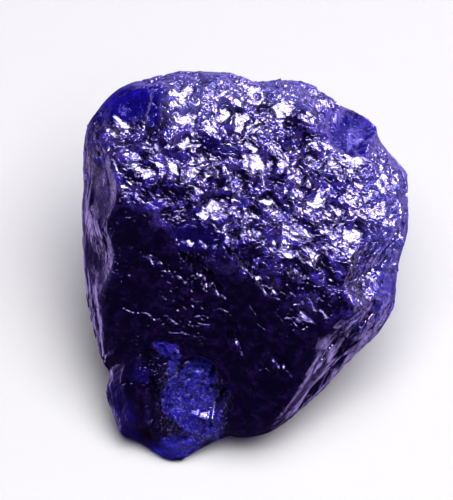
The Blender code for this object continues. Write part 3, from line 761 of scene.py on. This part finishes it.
# Where the colour differs: middle, half-length and half-width (units), turn (degrees), softness and colour. Most are
# painted light: a painted blue glow where the stone is thin and light comes through, a painted pale glow along the
# rims, a painted sheen on the left side and a crack painted pale. The indigo patches are a darker blue.
PATCHES = [
    # Painted pale glow along the top and right rims:
    (150, 30, 26, 80, 0, 0.4, PALE_GLOW),
    (-55, 172, 50, 12, 5, 0.5, PALE_GLOW),
    (40, 170, 45, 10, -12, 0.5, PALE_GLOW),
    (-48, 165, 48, 20, 8, 0.6, LILAC_GLOW),
    (45, 165, 30, 12, -12, 0.6, LILAC_GLOW),
    (142, 60, 18, 45, 8, 0.5, PALE_GLOW),
    # Painted deep-blue glow in the thin top-left corner:
    (-112, 157, 34, 17, 22, 0.25, NAVY_GLOW),
    (-90, 152, 10, 18, 20, 0.2, NAVY_GLOW),
    # A crack painted pale with the light it catches:
    (-96, 152, 17, 1.6, 82, 0.5, LIT_CRACK),
    # Painted sheen on the left side, for the floor's reflection:
    (-148, 87, 20, 6.5, -72, 0.3, PAINTED_SHEEN),
    (-146, 50, 8, 3, -75, 0.3, PAINTED_SHEEN),
    (-155, 36, 14, 4.5, -70, 0.4, PAINTED_SHEEN),
    (-143, 9, 17, 3, -43, 0.4, PAINTED_SHEEN),
    (-148, -18, 12, 2.5, -72, 0.4, PAINTED_SHEEN),
    # Painted blue glow at the thin top-right corner and the right edge:
    (104, 126, 30, 22, -25, 0.25, ROYAL_GLOW),
    (104, 122, 26, 12, 20, 0.5, AZURE_GLOW),
    (88, 134, 9, 14, 10, 0.4, AZURE_GLOW),
    (140, -28, 9, 20, 15, 0.3, ROYAL_GLOW),
    (-28, 122, 12, 12, 0, 0.3, INDIGO),
    (-40, 22, 32, 13, -10, 0.25, INDIGO),
    # Painted blue glow through the thin lump:
    (-56, -138, 25, 24, 0, 0.12, ROYAL_GLOW),
    (-44, -152, 24, 24, 0, 0.12, ROYAL_GLOW),
    (-45, -110, 17, 13, 10, 0.12, ROYAL_GLOW),
    (-66, -186, 28, 12, 5, 0.2, ROYAL_GLOW),
    (-29, -169, 12, 8, 30, 0.3, BRIGHT_GLOW),
    (-68, -190, 16, 7, 5, 0.4, BRIGHT_GLOW),
    (-76, -88, 13, 7, -35, 0.2, BRIGHT_GLOW),
    (-70, -104, 4, 8, 10, 0.2, BRIGHT_GLOW),
    (-100, -110, 12, 9, -50, 0.4, INDIGO),
    (-122, -150, 12, 32, 20, 0.4, INDIGO),
]

stone = bpy.data.objects.new("tanzanite_crystal", crystal_mesh())
bpy.context.scene.collection.objects.link(stone)
stone.data.materials.append(crystal())
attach(stone, "root")
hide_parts("rough_tanzanite")


# ------------------------------------------------------------------ the studio
def plain(name, colour, roughness):
    material = bpy.data.materials.new(name)
    material.use_nodes = True
    shader = material.node_tree.nodes["Principled BSDF"]
    shader.inputs["Base Color"].default_value = colour
    shader.inputs["Roughness"].default_value = roughness
    shader.inputs["Specular IOR Level"].default_value = 0.2
    return material


def floor():
    bm = bmesh.new()
    bmesh.ops.create_grid(bm, x_segments=1, y_segments=1, size=1.5)
    mesh = bpy.data.meshes.new("floor")
    bm.to_mesh(mesh)
    bm.free()
    mesh.materials.append(plain("pale_floor", (0.50, 0.496, 0.492, 1), 0.9))
    obj = bpy.data.objects.new("floor", mesh)
    bpy.context.scene.collection.objects.link(obj)
    obj.visible_glossy = False


def softbox(name, direction, distance, size, radiance, colour=(1, 1, 1), shape="SQUARE", size_y=None):
    """A soft light that faces the stone, so many mm away, with this radiance."""
    data = bpy.data.lights.new(name, "AREA")
    data.shape = "RECTANGLE" if size_y else shape
    data.size = size * 1e-3
    area = data.size**2 * (math.pi / 4 if shape == "DISK" else 1)
    if size_y:
        data.size_y = size_y * 1e-3
        area = data.size * data.size_y
    data.energy = radiance * area * math.pi
    data.color = colour
    obj = bpy.data.objects.new(name, data)
    bpy.context.scene.collection.objects.link(obj)
    at = Vector(direction).normalized() * distance * 1e-3
    obj.location = at + Vector((0, 0, 0.008))
    obj.rotation_euler = (-at).to_track_quat("-Z", "Y").to_euler()
    obj.visible_camera = False
    return obj


floor()
WINDOW = (0.399, 0.184, 0.897)  # the way to the window's middle
for name, away, size, radiance, colour, shape in (
        ("window_rim", 330, 440, 5.0, (0.42, 0.36, 1.0), "SQUARE"),
        ("window", 300, 250, 14.0, (0.68, 0.63, 1.0), "SQUARE"),
        ("window_middle", 280, 165, 28.0, (0.94, 0.89, 1.0), "DISK")):
    softbox(name, WINDOW, away, size, radiance, colour, shape).visible_diffuse = False
fill = softbox("fill", (0.15, -0.1, 0.98), 300, 260, 10.2, (1.0, 1.0, 1.0))
fill.visible_glossy = False
fill.visible_transmission = False


def room():
    """A dim violet room with a paler band low down at the sides and the back."""
    world = bpy.data.worlds.new("room")
    bpy.context.scene.world = world
    world.use_nodes = True
    n = Nodes(world.node_tree)
    way = n.add("ShaderNodeSeparateXYZ", i0=n.add("ShaderNodeTexCoord").outputs["Generated"]).outputs
    under = n.ramp(way[2], -1.0, -0.25)
    over = n.ramp(way[2], 0.28, 0.05)
    band = n.math("MULTIPLY", n.math("MULTIPLY", under, under), over)
    band = n.math("MULTIPLY", band, n.ramp(way[1], -0.60, 0.20))
    band = n.math("MULTIPLY", band, n.ramp(way[0], -0.55, 0.10, 0.30, 1.0))
    toward = n.add("ShaderNodeVectorMath", set_operation="DOT_PRODUCT", i0=n.add("ShaderNodeTexCoord").outputs["Generated"],
                   i1=tuple(Vector((0.74, -0.28, -0.61)).normalized())).outputs["Value"]
    lobe = n.ramp(toward, 0.93, 0.995)
    band = n.math("ADD", band, n.math("MULTIPLY", lobe, 1.8))
    toward = n.add("ShaderNodeVectorMath", set_operation="DOT_PRODUCT", i0=n.add("ShaderNodeTexCoord").outputs["Generated"],
                   i1=tuple(Vector((-0.66, 0.30, -0.69)).normalized())).outputs["Value"]
    lobe = n.ramp(toward, 0.93, 0.985)
    band = n.math("ADD", band, n.math("MULTIPLY", lobe, 0.85))
    colour = n.mix(n.math("MINIMUM", band, 1.0), (0.34, 0.22, 0.85, 1), (0.60, 0.46, 1.0, 1))
    shader = world.node_tree.nodes["Background"]
    world.node_tree.links.new(colour, shader.inputs["Color"])
    world.node_tree.links.new(n.math("ADD", n.math("MULTIPLY", band, 2.46), 0.09), shader.inputs["Strength"])


room()

# ------------------------------------------------------------------ the camera
ELEVATION = math.radians(58)
AWAY = 300.0     # mm from the stone
IN_VIEW = 34.0   # mm of the frame's height at the stone
camera = bpy.data.cameras.new("camera")
camera.lens = 36 * AWAY / IN_VIEW
camera.shift_x = (226.5 - 243) / 500
camera.shift_y = (262 - 250) / 500
camera.clip_start = 0.01
view = bpy.data.objects.new("camera", camera)
bpy.context.scene.collection.objects.link(view)
middle = Vector([x * 1e-3 for x in MOVE])
back = Vector((0, -math.cos(ELEVATION), math.sin(ELEVATION)))
view.location = middle + back * AWAY * 1e-3
view.rotation_euler = (-back).to_track_quat("-Z", "Y").to_euler()
bpy.context.scene.camera = view

bpy.context.scene.view_settings.view_transform = "Standard"
bpy.context.scene.view_settings.look = "None"
bpy.context.scene.cycles.transmission_bounces = 10
bpy.context.scene.cycles.max_bounces = 12
